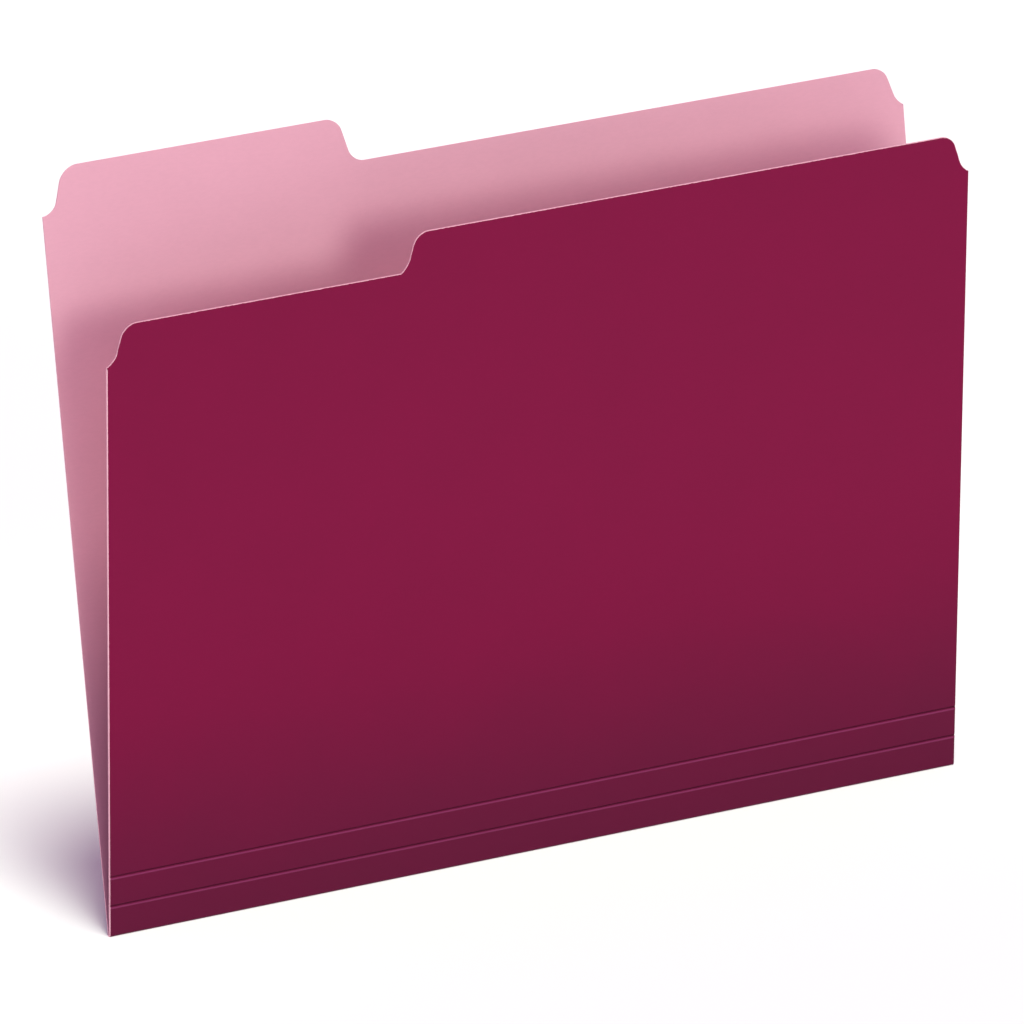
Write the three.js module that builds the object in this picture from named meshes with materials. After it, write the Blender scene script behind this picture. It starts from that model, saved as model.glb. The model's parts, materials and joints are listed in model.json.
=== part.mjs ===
// A letter-size file folder with an index tab, standing upright and opened into a narrow V.
// It is cut from one sheet of two bonded plies, burgundy outside and pink inside, creased once
// at the fold and scored twice beside it, so that the strips next to the fold can swing out
// into a wider base. Each stretch between two bends is a piece of its own, in both plies.
//
// Units are millimetres, with +Z up. The origin is the middle of the fold's axis. X runs along
// the fold, the front leaf stands in the XZ plane and the back leaf leans back, towards +Y.
import * as THREE from 'three';

// The sheet
const LEAF_WIDTH = 295.275; // along the fold, 11 5/8 in
const BACK_HEIGHT = 226.8; // from the fold's axis to the back leaf's plain top edge
const TAB_HEIGHT = 14.5; // the tab stands this far above that edge, 241.3 mm in all, 9 1/2 in
const TAB_REACH = 102.6; // from the left edge to the middle of the tab's right slope
const NOTCH_REACH = 103.6; // from the left edge to the middle of the notch's step
const FRONT_HEIGHT = 215.9; // from the fold's axis to the front leaf's top edge, 8 1/2 in
const NOTCH_DEPTH = 12.7; // the front leaf is cut this much lower in front of the tab, 1/2 in
const CORNER_DROP = 12.7; // the top right corners are cut away down to here, 1/2 in
const NOTCH_CORNER_DROP = 13.3; // and the front leaf's top left corner down to here

// The slopes of the cut outline: a round head, a straight flank and a round foot
const CORNER_HEAD_RADIUS = 5;
const CORNER_FOOT_RADIUS = 6;
const CORNER_FLANK_ANGLE = 72; // degrees from the top edge
const TAB_HEAD_RADIUS = 5.3;
const TAB_FOOT_RADIUS = 5.3;
const TAB_FLANK_ANGLE = 75;
const TAB_CORNER_HEAD_RADIUS = 6.7;
const TAB_CORNER_FOOT_RADIUS = 5.1;
const NOTCH_STEP_FOOT_RADIUS = 8.5;
const NOTCH_STEP_END_ANGLE = 38; // the step's foot meets the notch's level edge at a corner
const NOTCH_CORNER_HEAD_RADIUS = 5.7;
const NOTCH_CORNER_FOOT_RADIUS = 6.6;
const EDGE_ANGLE = 26; // how steeply a foot still falls where the leaf's side edge ends it

// The stock
const INNER_PLY = 0.36; // pink, the thicker ply
const OUTER_PLY = 0.12; // burgundy
const BOND_LINE = 0.02; // the film between the plies

// The bends
const OPENING_ANGLE = 11.5; // degrees between the two leaves
const CLOSED_GAP = 0.3; // left between the leaves' inner faces when the folder is shut
const SCORE_PITCH = 9.9; // from the fold's axis to the first score, and on to the second
const SCORE_GAP = 0.3; // the width of a score's hinge line
const FOLD_CLEARANCE = 0.1; // from the rounded fold to the edges that turn about it
const SCORE_COUNT = 2;

// The finish of the two plies
const BURGUNDY = 0x861b42;
const PINK = 0xe8a9ba;
const PAPER_ROUGHNESS = 0.62;

// How finely the round stretches are cut
const ARC_STEPS = 7;
const ROUND_STEPS = 24;

const STOCK = INNER_PLY + BOND_LINE + OUTER_PLY;
const FACE_OFFSET = CLOSED_GAP / 2;
const FOLD_RADIUS = FACE_OFFSET + STOCK;
const FOLD_MARGIN = FOLD_RADIUS + FOLD_CLEARANCE;
const LEFT = -LEAF_WIDTH / 2;
const RIGHT = LEAF_WIDTH / 2;
const LEAF_TURN = Math.PI / 2;
const BACK_TURN = LEAF_TURN - THREE.MathUtils.degToRad(OPENING_ANGLE);

// The slope from a high edge down to a lower one, as points from its head at (0, 0), falling
// towards +X. The foot ends level, or still falling at endAngle where another edge cuts it off.
function slope({ drop, headRadius, footRadius, flankAngle, endAngle = 0 }) {
  const flank = THREE.MathUtils.degToRad(flankAngle);
  const end = THREE.MathUtils.degToRad(endAngle);
  const headFall = headRadius * (1 - Math.cos(flank));
  const footFall = footRadius * (Math.cos(end) - Math.cos(flank));
  const straight = (drop - headFall - footFall) / Math.sin(flank);
  const flankX = headRadius * Math.sin(flank) + straight * Math.cos(flank);
  const points = [];
  for (let step = 0; step <= ARC_STEPS; step += 1) {
    const angle = (flank * step) / ARC_STEPS;
    points.push(new THREE.Vector2(headRadius * Math.sin(angle), -headRadius * (1 - Math.cos(angle))));
  }
  for (let step = 0; step <= ARC_STEPS; step += 1) {
    const angle = flank + ((end - flank) * step) / ARC_STEPS;
    const x = flankX + footRadius * (Math.sin(flank) - Math.sin(angle));
    const y = -drop + footRadius * (Math.cos(end) - Math.cos(angle));
    points.push(new THREE.Vector2(x, y));
  }
  return points;
}

// A slope that falls towards the right edge, with its foot at x, drawn from foot to head.
function slopeToRight(points, x, top) {
  const width = points.at(-1).x;
  return points.map((point) => new THREE.Vector2(x - width + point.x, top + point.y)).reverse();
}

// A slope that falls towards the left edge, with its foot at x, drawn from head to foot.
function slopeToLeft(points, x, top) {
  const width = points.at(-1).x;
  return points.map((point) => new THREE.Vector2(x + width - point.x, top + point.y));
}

const rightCorner = slope({
  drop: CORNER_DROP,
  headRadius: CORNER_HEAD_RADIUS,
  footRadius: CORNER_FOOT_RADIUS,
  flankAngle: CORNER_FLANK_ANGLE,
  endAngle: EDGE_ANGLE,
});

// The back leaf's outline, from bottom to the top of its tab, counter-clockwise.
function backLeafOutline(bottom) {
  const tabTop = BACK_HEIGHT + TAB_HEIGHT;
  const tabSlope = slope({
    drop: TAB_HEIGHT,
    headRadius: TAB_HEAD_RADIUS,
    footRadius: TAB_FOOT_RADIUS,
    flankAngle: TAB_FLANK_ANGLE,
  });
  const tabCorner = slope({
    drop: TAB_HEIGHT,
    headRadius: TAB_CORNER_HEAD_RADIUS,
    footRadius: TAB_CORNER_FOOT_RADIUS,
    flankAngle: TAB_FLANK_ANGLE,
  });
  const tabFoot = LEFT + TAB_REACH + tabSlope.at(-1).x / 2;
  return [
    new THREE.Vector2(LEFT, bottom),
    new THREE.Vector2(RIGHT, bottom),
    ...slopeToRight(rightCorner, RIGHT, BACK_HEIGHT),
    ...slopeToRight(tabSlope, tabFoot, tabTop),
    ...slopeToLeft(tabCorner, LEFT, tabTop),
  ];
}

// The front leaf's outline, with the notch that leaves the tab in view.
function frontLeafOutline(bottom) {
  const notchTop = FRONT_HEIGHT - NOTCH_DEPTH;
  const notchStep = slope({
    drop: NOTCH_DEPTH,
    headRadius: TAB_HEAD_RADIUS,
    footRadius: NOTCH_STEP_FOOT_RADIUS,
    flankAngle: TAB_FLANK_ANGLE,
    endAngle: NOTCH_STEP_END_ANGLE,
  });
  const notchCorner = slope({
    drop: NOTCH_CORNER_DROP,
    headRadius: NOTCH_CORNER_HEAD_RADIUS,
    footRadius: NOTCH_CORNER_FOOT_RADIUS,
    flankAngle: TAB_FLANK_ANGLE,
    endAngle: EDGE_ANGLE,
  });
  const stepFoot = LEFT + NOTCH_REACH - notchStep.at(-1).x / 2;
  return [
    new THREE.Vector2(LEFT, bottom),
    new THREE.Vector2(RIGHT, bottom),
    ...slopeToRight(rightCorner, RIGHT, FRONT_HEIGHT),
    ...slopeToLeft(notchStep, stepFoot, FRONT_HEIGHT),
    ...slopeToLeft(notchCorner, LEFT, notchTop),
  ];
}

// A plain strip of the sheet between two bends.
function stripOutline(bottom, top) {
  return [
    new THREE.Vector2(LEFT, bottom),
    new THREE.Vector2(RIGHT, bottom),
    new THREE.Vector2(RIGHT, top),
    new THREE.Vector2(LEFT, top),
  ];
}

function paper(color) {
  return new THREE.MeshStandardMaterial({ color, roughness: PAPER_ROUGHNESS, metalness: 0 });
}

function named(name, geometry, color) {
  const mesh = new THREE.Mesh(geometry, paper(color));
  mesh.name = name;
  return mesh;
}

// One ply of a flat stretch. It lies from near to near + thickness away from the fold's axis
// plane, on the side that outward gives: 1 for the front side, -1 for the back leaf.
function ply(outline, near, thickness, outward) {
  const geometry = new THREE.ExtrudeGeometry(new THREE.Shape(outline), {
    depth: thickness,
    bevelEnabled: false,
  });
  geometry.translate(0, 0, outward > 0 ? near : -near - thickness);
  return geometry;
}

// Both plies of a flat stretch, in the frame of the bend that it turns about.
function bondedPlies(name, outline, innerFace, outward) {
  return [
    named(`${name}_inner_ply`, ply(outline, innerFace, INNER_PLY, outward), PINK),
    named(`${name}_outer_ply`, ply(outline, innerFace + INNER_PLY + BOND_LINE, OUTER_PLY, outward), BURGUNDY),
  ];
}

// The inner ply of the fold is the round bead that it is crushed into along the axis.
function foldBead() {
  const radius = FOLD_RADIUS - OUTER_PLY - BOND_LINE;
  const geometry = new THREE.CylinderGeometry(radius, radius, LEAF_WIDTH, ROUND_STEPS);
  geometry.rotateZ(Math.PI / 2);
  return named('fold_inner_ply', geometry, PINK);
}

// The outer ply wraps under the bead, from the front leaf's outer face to the back leaf's.
function foldWrap() {
  const start = -Math.PI;
  const end = -THREE.MathUtils.degToRad(OPENING_ANGLE);
  const section = new THREE.Shape();
  section.absarc(0, 0, FOLD_RADIUS, start, end, false);
  section.absarc(0, 0, FOLD_RADIUS - OUTER_PLY, end, start, true);
  const geometry = new THREE.ExtrudeGeometry(section, {
    depth: LEAF_WIDTH,
    bevelEnabled: false,
    curveSegments: ROUND_STEPS / 2,
  });
  geometry.translate(0, 0, LEFT);
  // The section is drawn in Y and Z, and its length runs along X.
  geometry.applyMatrix4(new THREE.Matrix4().set(0, 0, 1, 0, 1, 0, 0, 0, 0, 1, 0, 0, 0, 0, 0, 1));
  return named('fold_outer_ply', geometry, BURGUNDY);
}

// The back leaf turns about the fold's axis, so its inner face lies half the closed gap off it.
function backLeaf() {
  const group = new THREE.Group();
  group.rotation.x = BACK_TURN;
  group.add(...bondedPlies('back_leaf', backLeafOutline(FOLD_MARGIN), FACE_OFFSET, -1));
  return group;
}

// The front side is a chain: strip, score, strip, score, leaf. Each stretch is drawn from the
// bend below it, and each score's axis lies in the inner face.
function frontSide() {
  const chain = new THREE.Group();
  chain.rotation.x = LEAF_TURN;
  let carrier = chain;
  let innerFace = FACE_OFFSET;
  let margin = FOLD_MARGIN;
  for (let score = 1; score <= SCORE_COUNT; score += 1) {
    const outline = stripOutline(margin, SCORE_PITCH - SCORE_GAP / 2);
    carrier.add(...bondedPlies(`base_strip_${score}`, outline, innerFace, 1));
    const hinge = new THREE.Group();
    hinge.position.set(0, SCORE_PITCH, innerFace);
    carrier.add(hinge);
    carrier = hinge;
    innerFace = 0;
    margin = SCORE_GAP / 2;
  }
  const scored = SCORE_PITCH * SCORE_COUNT;
  const outline = frontLeafOutline(scored + margin);
  outline.forEach((point) => point.setY(point.y - scored));
  carrier.add(...bondedPlies('front_leaf', outline, innerFace, 1));
  return chain;
}

const folder = new THREE.Group();
folder.add(backLeaf(), foldBead(), foldWrap(), frontSide());

export default folder;
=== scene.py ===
"""The folder is one creased and scored sheet of two plies, so each flat stretch between two bends is
a piece in both plies. Lengths are in metres; the fold runs along X and the front leaf is upright.
"""
import json
import math
from collections import namedtuple

import bmesh
import bpy
from bpy.props import FloatProperty, FloatVectorProperty, PointerProperty
from mathutils import Matrix, Vector


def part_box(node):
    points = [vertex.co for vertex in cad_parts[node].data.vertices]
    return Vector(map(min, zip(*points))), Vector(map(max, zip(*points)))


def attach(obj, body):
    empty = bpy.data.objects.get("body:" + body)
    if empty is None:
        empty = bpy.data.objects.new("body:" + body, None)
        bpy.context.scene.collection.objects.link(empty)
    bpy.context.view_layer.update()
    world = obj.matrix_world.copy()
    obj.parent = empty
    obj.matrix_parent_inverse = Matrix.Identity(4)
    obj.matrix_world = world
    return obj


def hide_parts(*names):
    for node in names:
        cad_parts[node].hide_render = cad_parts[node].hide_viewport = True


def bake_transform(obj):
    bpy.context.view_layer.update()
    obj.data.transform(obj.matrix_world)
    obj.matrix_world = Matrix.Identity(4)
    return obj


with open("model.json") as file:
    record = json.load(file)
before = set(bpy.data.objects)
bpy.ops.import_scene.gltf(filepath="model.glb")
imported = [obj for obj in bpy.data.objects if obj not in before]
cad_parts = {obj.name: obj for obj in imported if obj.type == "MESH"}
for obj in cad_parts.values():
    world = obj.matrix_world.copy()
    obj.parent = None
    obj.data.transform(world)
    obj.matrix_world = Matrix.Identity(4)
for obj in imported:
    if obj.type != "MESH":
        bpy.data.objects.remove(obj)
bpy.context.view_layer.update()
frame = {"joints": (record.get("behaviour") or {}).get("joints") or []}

bl_info = {
    "name": "File Folder",
    "version": (1, 0, 0),
    "blender": (4, 5, 0),
    "location": "View3D > Sidebar > Folder",
    "description": "Makes a tabbed file folder, ply by ply, and the stage that it stands on",
    "category": "Add Mesh",
}

STRIP_LOW, STRIP_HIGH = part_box("base_strip_1_outer_ply")
OPENING = next(joint for joint in frame["joints"] if joint["name"] == "opening")

MM = 0.001
TINY = 0.00001
UPRIGHT = math.radians(90)
SMOOTH_BELOW = math.radians(40)
FLAT_WITHIN = math.radians(0.05)
ARC_SEGMENTS = 8
FOLD_STEPS = 18
# A leaf starts this much too long, and is then cut to length at its lower edge.
SPARE = 10 * MM
PAPER_SLOTS = {"outer": "burgundy_ply", "inner": "pink_ply"}

# The slopes of the cut outline: how far each falls, its round head and foot, its straight flank,
# and how steeply the foot still falls where another edge cuts it off. The curves of a slope are
# all of these but the drop.
Slope = namedtuple("Slope", "drop head_radius foot_radius flank end")
FOOT_END = math.radians(26)
TAB_FLANK = math.radians(75)
CORNER_CURVES = (5 * MM, 6 * MM, math.radians(72), FOOT_END)
TAB_SIDE_CURVES = (5.3 * MM, 5.3 * MM, TAB_FLANK, 0.0)
TAB_CORNER_CURVES = (6.7 * MM, 5.1 * MM, TAB_FLANK, 0.0)
STEP_CURVES = (5.3 * MM, 8.5 * MM, TAB_FLANK, math.radians(38))
NOTCH_CORNER_CURVES = (5.7 * MM, 6.6 * MM, TAB_FLANK, FOOT_END)

# The press marks of a score: places across it, as shares of its half width, and how deep each
# lies, as a share of its full depth. Below the groove the stock is raised to a lip.
SCORE_SECTION = (
    (-1.0, 0.0), (-0.87, -0.2), (-0.7, -0.35), (-0.53, -0.2), (-0.4, 0.0),
    (-0.27, 0.0), (-0.12, 0.8), (0.0, 1.0), (0.12, 0.8), (0.27, 0.0), (1.0, 0.0),
)
SCORE_LIP = (-0.93, -0.47)
SCORE_GROOVE = (-0.2, 0.2)

# Two stretches of the sheet meet this far below a score's marks, which leaves the score whole.
SEAM_CLEARANCE = 0.25 * MM
# How far above and below the middle of the second score the front leaf's bend would reach; no bend
# is made here.
BEND_REACH = 0.6 * MM

# How strongly each cut edge is worn: the left one is the edge that hands and drawers rub.
LEFT_WEAR, TOP_WEAR, RIGHT_WEAR = 1.0, 0.42, 0.2


class SheetSizes(bpy.types.PropertyGroup):
    """The cut outline of the sheet."""

    width: FloatProperty(
        name="Width", description="Along the fold", unit="LENGTH",
        default=STRIP_HIGH.x - STRIP_LOW.x,
    )
    back_height: FloatProperty(
        name="Back height", description="From the fold to the back leaf's plain top edge",
        unit="LENGTH", default=226.8 * MM,
    )
    tab_height: FloatProperty(
        name="Tab height", description="How far the tab stands above that edge",
        unit="LENGTH", default=14.5 * MM,
    )
    tab_reach: FloatProperty(
        name="Tab reach", description="From the left edge to the middle of the tab's right slope",
        unit="LENGTH", default=102.6 * MM,
    )
    notch_reach: FloatProperty(
        name="Notch reach", description="From the left edge to the middle of the notch's step",
        unit="LENGTH", default=103.6 * MM,
    )
    front_height: FloatProperty(
        name="Front height", description="From the fold to the front leaf's top edge",
        unit="LENGTH", default=215.9 * MM,
    )
    notch_depth: FloatProperty(
        name="Notch depth", description="How much lower the front leaf is cut in front of the tab",
        unit="LENGTH", default=12.7 * MM,
    )
    corner_drop: FloatProperty(
        name="Corner drop", description="How far the top right corners are cut away",
        unit="LENGTH", default=12.7 * MM,
    )
    notch_corner_drop: FloatProperty(
        name="Notch corner drop", description="How far the notched top left corner is cut away",
        unit="LENGTH", default=13.3 * MM,
    )
    opening: FloatProperty(
        name="Opening", description="Between the two leaves",
        unit="ROTATION", default=math.radians(-OPENING["range_deg"][0]),
    )


class StockSizes(bpy.types.PropertyGroup):
    """The folder stock, its bends and its wear."""

    inner_ply: FloatProperty(
        name="Inner ply", description="Thickness of the pink ply",
        unit="LENGTH", default=0.36 * MM,
    )
    outer_ply: FloatProperty(
        name="Outer ply", description="Thickness of the burgundy ply",
        unit="LENGTH", default=0.12 * MM,
    )
    bond: FloatProperty(
        name="Bond", description="The film between the plies",
        unit="LENGTH", default=0.02 * MM,
    )
    offset: FloatProperty(
        name="Face offset", description="From the fold's axis plane to a leaf's inner face",
        unit="LENGTH", default=0.15 * MM,
    )
    score_pitch: FloatProperty(
        name="Score pitch", description="From the fold to the first score, and on to the second",
        unit="LENGTH", default=9.9 * MM,
    )
    score_width: FloatProperty(
        name="Score width", description="Across a score's marks",
        unit="LENGTH", default=2.3 * MM,
    )
    score_depth: FloatProperty(
        name="Score depth", description="How far a score is pressed in",
        unit="LENGTH", default=0.2 * MM,
    )
    worn_margin: FloatProperty(
        name="Worn margin", description="How far wear reaches in from a cut edge",
        unit="LENGTH", default=0.5 * MM,
    )


class FolderColours(bpy.types.PropertyGroup):
    """The colours of the plies, their marks and the floor, as linear values."""

    burgundy: FloatVectorProperty(
        name="Burgundy", description="The outer ply", subtype="COLOR",
        default=(0.19, 0.0012, 0.0405),
    )
    pink: FloatVectorProperty(
        name="Pink", description="The inner ply", subtype="COLOR",
        default=(0.70, 0.335, 0.437),
    )
    # Also the colour of the pink ply's score lip, where it is partly a painted highlight.
    fibre: FloatVectorProperty(
        name="Fibre", description="Bare fibres on worn edges", subtype="COLOR",
        default=(0.82, 0.44, 0.53),
    )
    # Painted highlight, partly real rub: a score's lip is lighter than the burgundy, standing also
    # for the light that the lip catches.
    rubbed: FloatVectorProperty(
        name="Rubbed lip and highlight", description="Burgundy that a score has rubbed", subtype="COLOR",
        default=(0.31, 0.045, 0.15),
    )
    # Painted shade: a dark violet that darkens the burgundy towards the fold, for the shade low on
    # the front leaf.
    burgundy_fold_shade: FloatVectorProperty(
        name="Painted burgundy shade", description="What dulls the burgundy near the fold", subtype="COLOR",
        default=(0.03, 0.010, 0.035),
    )
    # Painted shade: a dark violet that darkens the pink towards the fold, for the shade deep inside
    # the V between the leaves.
    pink_fold_shade: FloatVectorProperty(
        name="Painted pink shade", description="What dulls the pink near the fold", subtype="COLOR",
        default=(0.17, 0.02, 0.13),
    )
    floor: FloatVectorProperty(
        name="Floor", description="The floor of the stage", subtype="COLOR",
        default=(0.95, 0.95, 0.95),
    )


# Shaping by hand: what is picked in code, and the edit mode operators that act on it.


def start_sheet(name, left, right, bottom, top, depth):
    """Adds an upright plane at its size and place and opens it in edit mode."""
    bpy.ops.object.select_all(action="DESELECT")
    centre = ((left + right) / 2, depth, (bottom + top) / 2)
    bpy.ops.mesh.primitive_plane_add(size=1, location=centre, rotation=(UPRIGHT, 0, 0))
    piece = bpy.context.object
    piece.name = piece.data.name = name
    piece.scale = (right - left, top - bottom, 1)
    bpy.ops.object.transform_apply(location=True, rotation=True, scale=True)
    bpy.ops.object.mode_set(mode="EDIT")
    return piece


def pick(piece, chosen):
    """Selects the vertices whose place passes the test, and returns how many there are."""
    bpy.ops.mesh.select_mode(type="VERT")
    bpy.ops.mesh.select_all(action="DESELECT")
    mesh = bmesh.from_edit_mesh(piece.data)
    found = [vertex for vertex in mesh.verts if chosen(vertex.co)]
    for vertex in found:
        vertex.select_set(True)
    mesh.select_flush_mode()
    bmesh.update_edit_mesh(piece.data)
    return len(found)


def cut(place, normal, clear=False):
    """Cuts the whole piece on a plane, and with clear removes what lies in front of it."""
    bpy.ops.mesh.select_all(action="SELECT")
    bpy.ops.mesh.bisect(plane_co=place, plane_no=normal, clear_outer=clear)


def shift(piece, chosen, move):
    """Moves the vertices that pass the test."""
    if not pick(piece, chosen):
        raise RuntimeError(f"{piece.name} has no vertex to move by {move}")
    bpy.ops.transform.translate(value=move)


def merge_flat():
    """Dissolves the lines that helped to shape an outline, which leaves one face."""
    bpy.ops.mesh.select_all(action="SELECT")
    bpy.ops.mesh.dissolve_limited(angle_limit=FLAT_WITHIN)


def round_corner(piece, x, z, radius, turn):
    """Rounds the outline's corner at a place, where the edge turns by the given angle."""
    if pick(piece, lambda co: abs(co.x - x) < TINY and abs(co.z - z) < TINY) != 1:
        raise RuntimeError(f"{piece.name} has no single corner at {x:.5f}, {z:.5f}")
    bpy.ops.mesh.bevel(
        affect="VERTICES", offset_type="OFFSET", offset=radius * math.tan(turn / 2),
        segments=ARC_SEGMENTS, profile=0.5, clamp_overlap=False,
    )


def close_sheet(piece, thickness):
    """Gives a flat sheet its thickness along Y, and points its faces outwards."""
    bpy.ops.mesh.select_mode(type="FACE")
    bpy.ops.mesh.select_all(action="SELECT")
    bpy.ops.mesh.extrude_region_move(TRANSFORM_OT_translate={"value": (0, thickness, 0)})
    bpy.ops.mesh.select_all(action="SELECT")
    bpy.ops.mesh.normals_make_consistent(inside=False)
    bpy.ops.object.mode_set(mode="OBJECT")


def finish_piece(piece, finish, turn=0.0):
    """Turns a piece about the fold, applies its place and gives it its finish."""
    piece.rotation_euler = (turn, 0, 0)
    bpy.ops.object.transform_apply(location=True, rotation=True, scale=True)
    bpy.ops.object.shade_smooth_by_angle(angle=SMOOTH_BELOW)
    piece.data.materials.clear()
    piece.data.materials.append(finish)


def mark(piece, name, worth):
    """Writes an attribute of the vertices, from a function of each vertex."""
    mesh = bmesh.from_edit_mesh(piece.data)
    layer = mesh.verts.layers.float.get(name) or mesh.verts.layers.float.new(name)
    for vertex in mesh.verts:
        vertex[layer] = worth(vertex)
    bmesh.update_edit_mesh(piece.data)


# The sheet: its cut outline, its worn edges, its scores and its plies.


def side_edges(sheet):
    """Where the sheet's left and right edges lie along the fold."""
    return -sheet.width / 2, sheet.width / 2


def slope_corners(slope):
    """How far the unrounded head and knee lie before the slope's end, and how far above it the
    knee lies."""
    tangent = slope.foot_radius * math.tan((slope.flank - slope.end) / 2)
    knee, rise = tangent * math.cos(slope.end), tangent * math.sin(slope.end)
    return knee + (slope.drop - rise) / math.tan(slope.flank), knee, rise


def slope_width(slope):
    """From the start of a slope's round head to its end."""
    head, _, _ = slope_corners(slope)
    return head + slope.head_radius * math.tan(slope.flank / 2)


def shape_top(piece, outline, top):
    """Lowers the top edge down each slope and rounds it. A slope of the outline comes with the
    place where it ends, the level that it falls from and the side that it falls towards."""
    for slope, end, _, side in outline:
        head, knee, rise = slope_corners(slope)
        for back in (head, knee, 0):
            cut((end - side * back, 0, 0), (1, 0, 0))
        for back, fall in ((knee, slope.drop - rise), (0, rise)):
            reach = side * end - back - TINY
            shift(piece, lambda co: side * co.x > reach and co.z > top / 2, (0, 0, -fall))
    merge_flat()
    for slope, end, level, side in outline:
        head, knee, rise = slope_corners(slope)
        round_corner(piece, end - side * head, level, slope.head_radius, slope.flank)
        round_corner(
            piece, end - side * knee, level - slope.drop + rise, slope.foot_radius,
            slope.flank - slope.end,
        )
    bpy.ops.mesh.select_all(action="SELECT")
    bpy.ops.mesh.remove_doubles(threshold=TINY)


def mark_wear(piece, left, right, elsewhere):
    """Marks how worn each vertex of the outline is, by the side that it lies on."""

    def worth(vertex):
        if vertex.co.x < left + TINY:
            return LEFT_WEAR
        if vertex.co.x > right - TINY:
            return RIGHT_WEAR
        return elsewhere if vertex.is_boundary else 0.0

    mark(piece, "worn_edge", worth)


def wear_sides(piece, left, right, margin):
    """Marks the side edges of a plain strip as worn, and keeps the wear within the margin."""
    for side in (left + margin, right - margin):
        cut((side, 0, 0), (1, 0, 0))
    mark_wear(piece, left, right, elsewhere=0.0)


def press_score(piece, height, stock, away):
    """Presses a score's groove across the sheet, and marks the groove, where the finish paints
    shade, and its raised lip, where it paints a rub and a highlight.
    """
    half = stock.score_width / 2
    for place, _ in SCORE_SECTION:
        cut((0, 0, height + place * half), (0, 0, 1))
    for place, share in SCORE_SECTION:
        if share:
            level = height + place * half
            shift(
                piece, lambda co: abs(co.z - level) < TINY, (0, away * share * stock.score_depth, 0)
            )
    for name, (low, high) in (("score_lip", SCORE_LIP), ("score_groove", SCORE_GROOVE)):
        low, high = height + low * half, height + high * half
        mark(piece, name, lambda vertex: 1.0 if low < vertex.co.z < high else 0.0)


def seam_drop(stock):
    """How far below the middle of a score the stretches of the sheet meet."""
    return stock.score_width / 2 + SEAM_CLEARANCE


def ply_span(stock, ply):
    """Where a ply lies from the fold's axis plane: the near face and the far face."""
    if ply == "inner":
        return stock.offset, stock.offset + stock.inner_ply
    near = stock.offset + stock.inner_ply + stock.bond
    return near, near + stock.outer_ply


def make_leaf(name, ply, facing, outline, bottom, score=None):
    """Makes one ply of a leaf. It faces -Y for the front leaf, facing -1, and +Y for the back."""
    sheet, stock = bpy.context.scene.folder_sheet, bpy.context.scene.folder_stock
    left, right = side_edges(sheet)
    near, far = ply_span(stock, ply)
    top = max(level for _, _, level, _ in outline)
    piece = start_sheet(name, left, right, bottom - SPARE, top, facing * far)
    shape_top(piece, outline, top)
    bpy.ops.mesh.select_all(action="SELECT")
    bpy.ops.mesh.inset(thickness=stock.worn_margin, use_boundary=True, use_even_offset=True)
    mark_wear(piece, left, right, elsewhere=TOP_WEAR)
    cut((0, 0, bottom), (0, 0, -1), clear=True)
    if score is not None:
        press_score(piece, score, stock, -facing)
    close_sheet(piece, facing * (near - far))
    return piece


def make_strip(name, ply, bottom, top, score=None):
    """Makes one ply of a plain strip of the front side, between two bends."""
    sheet, stock = bpy.context.scene.folder_sheet, bpy.context.scene.folder_stock
    left, right = side_edges(sheet)
    near, far = ply_span(stock, ply)
    piece = start_sheet(name, left, right, bottom, top, -far)
    wear_sides(piece, left, right, stock.worn_margin)
    if score is not None:
        press_score(piece, score, stock, 1)
    close_sheet(piece, far - near)
    return piece


# Paper finishes.


class Socket:
    """A node's output. Arithmetic on it adds the Math nodes that work it out."""

    def __init__(self, finish, output):
        self.finish, self.output = finish, output

    def maths(self, operation, *values):
        return self.finish.node("ShaderNodeMath", {"operation": operation}, dict(enumerate(values)))

    def __add__(self, other):
        return self.maths("ADD", self, other)

    def __sub__(self, other):
        return self.maths("SUBTRACT", self, other)

    def __rsub__(self, other):
        return self.maths("SUBTRACT", other, self)

    def __mul__(self, other):
        return self.maths("MULTIPLY", self, other)

    __radd__, __rmul__ = __add__, __mul__

    def between(self, low, high):
        """0 below low, 1 above high, and smooth in between."""
        return self.finish.node(
            "ShaderNodeMapRange", {"interpolation_type": "SMOOTHSTEP"}, {0: self, 1: low, 2: high}
        )


class Finish:
    """A material whose nodes are added one by one."""

    def __init__(self, name):
        self.material = bpy.data.materials.new(name)
        self.material.use_nodes = True
        self.tree = self.material.node_tree
        self.tree.nodes.clear()

    def node(self, kind, settings=None, inputs=None, output=0):
        """Adds a node with its settings and the values or links of its inputs."""
        node = self.tree.nodes.new(kind)
        for key, value in (settings or {}).items():
            setattr(node, key, value)
        for key, value in (inputs or {}).items():
            if isinstance(value, Socket):
                self.tree.links.new(value.output, node.inputs[key])
            else:
                node.inputs[key].default_value = value
        return None if output is None else Socket(self, node.outputs[output])

    def place(self):
        return self.node("ShaderNodeTexCoord", output="Object")

    def height(self):
        return self.node("ShaderNodeSeparateXYZ", inputs={"Vector": self.place()}, output="Z")

    def stretched(self, scale):
        return self.node("ShaderNodeMapping", inputs={"Vector": self.place(), "Scale": scale})

    def noise(self, pattern, vector=None):
        return self.node(
            "ShaderNodeTexNoise",
            inputs={
                "Vector": vector or self.place(), "Scale": pattern.scale,
                "Detail": pattern.detail, "Roughness": pattern.roughness,
            },
        )

    def marked(self, name):
        return self.node("ShaderNodeAttribute", {"attribute_name": name}, output="Fac")

    def mix(self, factor, first, second):
        return self.node(
            "ShaderNodeMix", {"data_type": "RGBA"}, {0: factor, 6: first, 7: second}, output=2
        )

    def surface(self, inputs):
        shader = self.node("ShaderNodeBsdfPrincipled", inputs=inputs)
        self.node("ShaderNodeOutputMaterial", inputs={"Surface": shader}, output=None)
        return self.material


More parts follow.
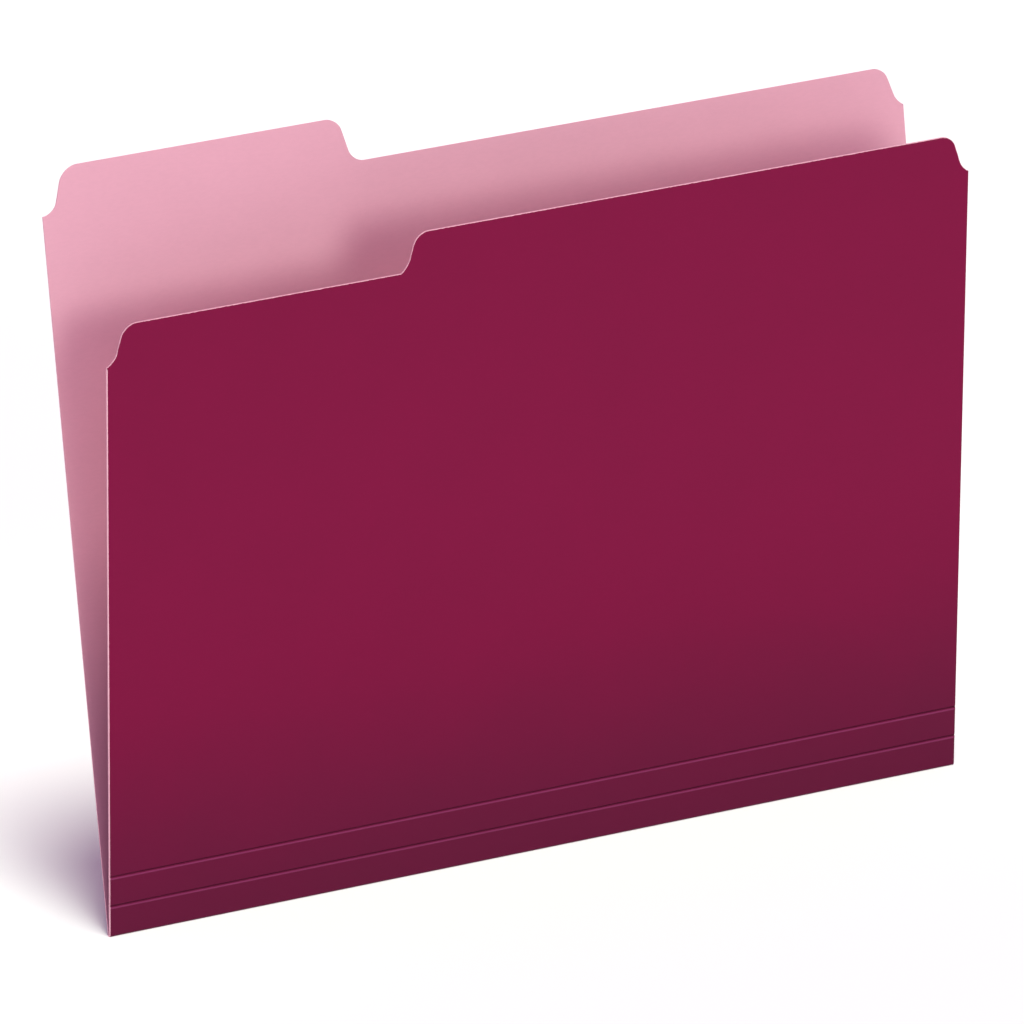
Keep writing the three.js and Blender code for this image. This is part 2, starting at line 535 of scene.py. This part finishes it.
def opaque(colour, gain=1.0):
    return (*(channel * gain for channel in colour), 1.0)


# How a ply looks: its colour, the colour of a score's rubbed lip, which is also a painted highlight,
# the colour of the painted shade that darkens it towards the fold, how high that painted shade
# reaches and how strong it is, its roughness, and the wear that bares its fibres.
PaperLook = namedtuple(
    "PaperLook", "name colour rubbed soil soil_height soiling roughness wear_from"
)

# The noise behind each pattern: its spots to the metre, its finer layers and how strong they are.
Noise = namedtuple("Noise", "scale detail roughness")
CLOUDS = Noise(28.0, 3.0, 0.55)
FIBRES = Noise(1.0, 2.0, 0.6)
GRAIN = Noise(2600.0, 2.0, 0.6)
RUB_PATCHES = Noise(160.0, 2.0, 0.5)
FRAYS = Noise(900.0, 3.0, 0.7)
FLOOR_CLOUDS = Noise(0.8, 2.0, 0.5)
NOISE_MIDDLE = 0.5
# The fibres' spots to the metre along X, Y and Z: they lie along the fold and are thin in height.
FIBRE_STRETCH = (420.0, 420.0, 1500.0)

# The paper's tone: which part of each noise counts, its share, and how far the tone takes the
# colour to either side.
CLOUD_RANGE, CLOUD_SHARE = (0.3, 0.7), 0.6
FIBRE_RANGE, FIBRE_SHARE = (0.35, 0.65), 0.4
TONE_SWING = 0.025

# The paper's relief and gloss.
GRAIN_RELIEF, FIBRE_RELIEF = 0.7, 0.3
RELIEF_STRENGTH = 0.12
RELIEF_DEPTH = 0.04 * MM
TONE_ROUGHENS, WEAR_ROUGHENS = 0.06, 0.2
PAPER_SPECULAR = 0.11

# The marks of use and the painted light: how far clouds move the upper limit of the painted shade
# towards the fold, how much painted shade a score's groove gets and how dark it is, how far a lip is
# rubbed and lit by a painted highlight and how patchy that is, how uneven worn edges are, and over
# how much wear the bare fibres come through.
SHADE_BREAK = 12 * MM
GROOVE_PAINTED_SHADE, GROOVE_SHADE = 0.5, 0.2
LIP_RUB_AND_HIGHLIGHT, LIP_PATCHES = 0.5, 0.2
EDGE_FRAY = 0.35
BARE_FADE = 0.12


def paper_finish(look, fibre):
    """Calendered folder stock: faint clouding, fibres and grain, darkened towards the fold by
    painted shade, marked where it is scored with painted shade in the groove and a rubbed lip
    lightened by a painted highlight, and down to pale fibres where an edge is worn."""
    found = bpy.data.materials.get(look.name)
    if found:
        return found
    finish = Finish(look.name)
    cloud = finish.noise(CLOUDS)
    fibres = finish.noise(FIBRES, finish.stretched(FIBRE_STRETCH))
    grain = finish.noise(GRAIN)
    tone = cloud.between(*CLOUD_RANGE) * CLOUD_SHARE + fibres.between(*FIBRE_RANGE) * FIBRE_SHARE
    darker, lighter = opaque(look.colour, 1 - TONE_SWING), opaque(look.colour, 1 + TONE_SWING)
    clean = finish.mix(tone, darker, lighter)
    # Painted shade: the colour darkens towards the fold, below a limit that clouds make uneven.
    height = finish.height() + (cloud - NOISE_MIDDLE) * SHADE_BREAK
    low = 1.0 - height.between(0.0, look.soil_height)
    fold_shaded = finish.mix(low * look.soiling, clean, opaque(look.soil))
    # Painted shade: the score's groove is darkened, for the shade on its upper wall, which faces
    # down.
    groove = finish.marked("score_groove") * GROOVE_PAINTED_SHADE
    pressed = finish.mix(groove, fold_shaded, opaque(look.colour, GROOVE_SHADE))
    # Painted highlight, partly real rub: the score's lip is lightened, for the light that it catches
    # and for rubbed stock.
    lip = finish.marked("score_lip") * (LIP_RUB_AND_HIGHLIGHT + finish.noise(RUB_PATCHES) * LIP_PATCHES)
    scored = finish.mix(lip, pressed, opaque(look.rubbed))
    edge = finish.marked("worn_edge") + finish.noise(FRAYS) * EDGE_FRAY - EDGE_FRAY * NOISE_MIDDLE
    bare = edge.between(look.wear_from, look.wear_from + BARE_FADE)
    relief = {
        "Strength": RELIEF_STRENGTH,
        "Distance": RELIEF_DEPTH,
        "Height": grain * GRAIN_RELIEF + fibres * FIBRE_RELIEF,
    }
    return finish.surface({
        "Base Color": finish.mix(bare, scored, opaque(fibre)),
        "Roughness": look.roughness + tone * TONE_ROUGHENS + bare * WEAR_ROUGHENS,
        "Specular IOR Level": PAPER_SPECULAR,
        "Normal": finish.node("ShaderNodeBump", inputs=relief),
    })


def ply_finish(ply):
    """The finish of a ply, made when it is first asked for."""
    colours = bpy.context.scene.folder_colours
    # Each look's shade colour is painted shade that darkens the ply towards the fold, and its rubbed
    # colour is also a painted highlight on the score's lip.
    if ply == "outer":
        look = PaperLook(
            name="Burgundy paper", colour=colours.burgundy, rubbed=colours.rubbed,
            soil=colours.burgundy_fold_shade, soil_height=80 * MM, soiling=0.34, roughness=0.5, wear_from=0.28,
        )
    else:
        look = PaperLook(
            name="Pink paper", colour=colours.pink, rubbed=colours.fibre,
            soil=colours.pink_fold_shade, soil_height=140 * MM, soiling=0.5, roughness=0.56, wear_from=0.9,
        )
    return paper_finish(look, colours.fibre)


# The pieces, one operator for each group of like ones.


class FOLDER_OT_fold(bpy.types.Operator):
    """Make both plies of the rounded fold"""

    bl_idname = "folder.fold"
    bl_label = "Fold"

    def execute(self, context):
        sheet, stock = context.scene.folder_sheet, context.scene.folder_stock
        left, right = side_edges(sheet)
        for ply in PAPER_SLOTS:
            near, far = ply_span(stock, ply)
            piece = start_sheet(f"fold_{ply}", left, right, near, far, 0)
            wear_sides(piece, left, right, stock.worn_margin)
            bpy.ops.mesh.select_all(action="SELECT")
            bpy.ops.mesh.spin(
                steps=FOLD_STEPS, angle=math.pi - sheet.opening, center=(0, 0, 0), axis=(1, 0, 0)
            )
            bpy.ops.mesh.select_all(action="SELECT")
            bpy.ops.mesh.normals_make_consistent(inside=False)
            bpy.ops.object.mode_set(mode="OBJECT")
            finish_piece(piece, ply_finish(ply), -UPRIGHT - sheet.opening)
            -far
            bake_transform(piece)
            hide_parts(f"fold_{ply}_ply")
        return {"FINISHED"}


class FOLDER_OT_back_leaf(bpy.types.Operator):
    """Make both plies of the back leaf, with its index tab"""

    bl_idname = "folder.back_leaf"
    bl_label = "Back Leaf"

    def execute(self, context):
        sheet = context.scene.folder_sheet
        left, right = side_edges(sheet)
        corner = Slope(sheet.corner_drop, *CORNER_CURVES)
        tab_side = Slope(sheet.tab_height, *TAB_SIDE_CURVES)
        tab_corner = Slope(sheet.tab_height, *TAB_CORNER_CURVES)
        tab_top = sheet.back_height + sheet.tab_height
        tab_end = left + sheet.tab_reach + slope_width(tab_side) / 2
        outline = (
            (tab_corner, left, tab_top, -1),
            (tab_side, tab_end, tab_top, 1),
            (corner, right, sheet.back_height, 1),
        )
        for ply in PAPER_SLOTS:
            piece = make_leaf(f"back_leaf_{ply}", ply, 1, outline, 0.0)
            finish_piece(piece, ply_finish(ply), -sheet.opening)
            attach(piece, "back_leaf")
            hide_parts(f"back_leaf_{ply}_ply")
        return {"FINISHED"}


class FOLDER_OT_base(bpy.types.Operator):
    """Make both plies of the two strips beside the fold, which swing out as the base"""

    bl_idname = "folder.base"
    bl_label = "Base Strips"

    def execute(self, context):
        stock = context.scene.folder_stock
        first_top = stock.score_pitch - seam_drop(stock)
        second_top = 2 * stock.score_pitch - seam_drop(stock)
        strips = (
            ("base_strip_1", 0.0, first_top, None),
            ("base_strip_2", first_top, second_top, stock.score_pitch),
        )
        for ply in PAPER_SLOTS:
            for name, bottom, top, score in strips:
                piece = make_strip(f"{name}_{ply}", ply, bottom, top, score)
                finish_piece(piece, ply_finish(ply))
                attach(piece, "base")
                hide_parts(f"{name}_{ply}_ply")
        return {"FINISHED"}


class FOLDER_OT_front_leaf(bpy.types.Operator):
    """Make both plies of the notched front leaf, with the second score pressed near its foot"""

    bl_idname = "folder.front_leaf"
    bl_label = "Front Leaf"

    def execute(self, context):
        sheet, stock = context.scene.folder_sheet, context.scene.folder_stock
        left, right = side_edges(sheet)
        corner = Slope(sheet.corner_drop, *CORNER_CURVES)
        step = Slope(sheet.notch_depth, *STEP_CURVES)
        notch_corner = Slope(sheet.notch_corner_drop, *NOTCH_CORNER_CURVES)
        step_end = left + sheet.notch_reach - slope_width(step) / 2
        outline = (
            (step, step_end, sheet.front_height, -1),
            (notch_corner, left, sheet.front_height - sheet.notch_depth, -1),
            (corner, right, sheet.front_height, 1),
        )
        score = 2 * stock.score_pitch
        bottom = score - seam_drop(stock)
        for ply in PAPER_SLOTS:
            piece = make_leaf(f"front_leaf_{ply}", ply, -1, outline, bottom, score)
            finish_piece(piece, ply_finish(ply))
            score - BEND_REACH
            score + BEND_REACH
            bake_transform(piece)
            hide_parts(f"front_leaf_{ply}_ply")
        return {"FINISHED"}


# The stage.


# The floor lies just below the fold's outer face.
FLOOR_SIZE = 80
FLOOR_LEVEL = -0.66 * MM
FLOOR_SWING = 0.01
FLOOR_ROUGHNESS = 0.9
FLOOR_SPECULAR = 0.1

# The camera's place, the directions of its picture's right side and of its view, which were
# fitted to the photograph, its lens and sensor in millimetres, and how far it sees.
CAMERA_PLACE = (-1.59520, -3.16755, 1.67226)
CAMERA_RIGHT = Vector((0.895819, -0.444345, 0.008135))
CAMERA_AHEAD = Vector((0.409772, 0.818756, -0.402152))
CAMERA_LENS = 440.1
CAMERA_SENSOR = 36
CAMERA_REACH = 200

# The room fills the shadows with a violet light, and the lamps are greenish to make up for it
# where they shine.
ROOM_COLOUR = (0.85, 0.45, 1.0, 1.0)
ROOM_STRENGTH = 0.32
OVERHEAD_COLOUR = (0.94, 1.0, 0.86)
OVERHEAD_POWER = 2.92
OVERHEAD_HEIGHT = 3
OVERHEAD_SPREAD = math.radians(20)
OVERHEAD_LEAN = math.radians(10)

# The two softboxes, before and behind the folder: how steeply they shine down, how far off they
# stand, and how narrow a grid keeps their light. The front one's lower rim falls across the
# folder's foot. Each has its direction, the height that it is aimed at, and its power.
BOX_RISE = math.radians(16)
BOX_DISTANCE = 0.35
BOX_SIZE = (1.0, 0.6)
BOX_SPREAD = math.radians(30)
BOX_COLOUR = (0.78, 1.0, 0.8)
BOXES = (
    ("front softbox", math.radians(-5), 0.344, 0.94),
    ("rear softbox", math.radians(180), 0.25, 0.6),
)


class FOLDER_OT_stage(bpy.types.Operator):
    """Make the pale floor, the soft studio light and the camera"""

    bl_idname = "folder.stage"
    bl_label = "Stage"

    def execute(self, context):
        scene = context.scene
        bpy.ops.object.select_all(action="DESELECT")
        bpy.ops.mesh.primitive_plane_add(size=FLOOR_SIZE, location=(0, 0, FLOOR_LEVEL))
        floor = context.object
        floor.name = "floor"
        finish = Finish("Floor")
        tone = finish.noise(FLOOR_CLOUDS)
        colour = scene.folder_colours.floor
        darker, lighter = opaque(colour, 1 - FLOOR_SWING), opaque(colour, 1 + FLOOR_SWING)
        floor.data.materials.append(finish.surface({
            "Base Color": finish.mix(tone, darker, lighter),
            "Roughness": FLOOR_ROUGHNESS,
            "Specular IOR Level": FLOOR_SPECULAR,
        }))
        self.light()
        self.camera()
        return {"FINISHED"}

    def light(self):
        scene = bpy.context.scene
        world = bpy.data.worlds.new("Room")
        scene.world = world
        world.use_nodes = True
        background = world.node_tree.nodes["Background"]
        background.inputs["Color"].default_value = ROOM_COLOUR
        background.inputs["Strength"].default_value = ROOM_STRENGTH
        bpy.ops.object.light_add(type="SUN", location=(0, 0, OVERHEAD_HEIGHT))
        overhead = bpy.context.object
        overhead.name = "overhead"
        overhead.data.color = OVERHEAD_COLOUR
        overhead.data.energy = OVERHEAD_POWER
        overhead.data.angle = OVERHEAD_SPREAD
        overhead.rotation_euler = (OVERHEAD_LEAN, 0, 0)
        for name, turn, height, power in BOXES:
            level = Vector((math.sin(turn), math.cos(turn), 0)) * math.cos(BOX_RISE)
            towards = level - Vector((0, 0, math.sin(BOX_RISE)))
            aim = Vector((0, 0, height))
            bpy.ops.object.light_add(type="AREA", location=aim - towards * BOX_DISTANCE)
            box = bpy.context.object
            box.name = name
            box.rotation_euler = towards.to_track_quat("-Z", "Y").to_euler()
            box.data.shape = "RECTANGLE"
            box.data.size, box.data.size_y = BOX_SIZE
            box.data.spread = BOX_SPREAD
            box.data.color = BOX_COLOUR
            box.data.energy = power
        scene.view_settings.view_transform = "Standard"

    def camera(self):
        bpy.ops.object.camera_add(location=CAMERA_PLACE)
        camera = bpy.context.object
        up = CAMERA_RIGHT.cross(CAMERA_AHEAD)
        turn = Matrix((CAMERA_RIGHT, up, -CAMERA_AHEAD)).transposed()
        camera.rotation_euler = turn.to_euler()
        camera.data.lens = CAMERA_LENS
        camera.data.sensor_width = CAMERA_SENSOR
        camera.data.clip_end = CAMERA_REACH
        bpy.context.scene.camera = camera


class FOLDER_PT_panel(bpy.types.Panel):
    """Lists the folder's pieces, sizes and colours"""

    bl_idname = "FOLDER_PT_panel"
    bl_label = "File Folder"
    bl_space_type = "VIEW_3D"
    bl_region_type = "UI"
    bl_category = "Folder"

    def draw(self, context):
        scene = context.scene
        for operator in OPERATORS:
            self.layout.operator(operator.bl_idname)
        for group in (scene.folder_sheet, scene.folder_stock, scene.folder_colours):
            box = self.layout.box()
            for name in group.__annotations__:
                box.prop(group, name)


OPERATORS = (
    FOLDER_OT_stage, FOLDER_OT_fold, FOLDER_OT_back_leaf, FOLDER_OT_base, FOLDER_OT_front_leaf
)
CLASSES = (SheetSizes, StockSizes, FolderColours, *OPERATORS, FOLDER_PT_panel)


def register():
    for cls in CLASSES:
        bpy.utils.register_class(cls)
    bpy.types.Scene.folder_sheet = PointerProperty(type=SheetSizes)
    bpy.types.Scene.folder_stock = PointerProperty(type=StockSizes)
    bpy.types.Scene.folder_colours = PointerProperty(type=FolderColours)


def unregister():
    del bpy.types.Scene.folder_colours, bpy.types.Scene.folder_stock, bpy.types.Scene.folder_sheet
    for cls in reversed(CLASSES):
        bpy.utils.unregister_class(cls)


def main():
    register()
    bpy.ops.folder.stage()
    bpy.ops.folder.fold()
    bpy.ops.folder.back_leaf()
    bpy.ops.folder.base()
    bpy.ops.folder.front_leaf()


if __name__ == "__main__":
    main()
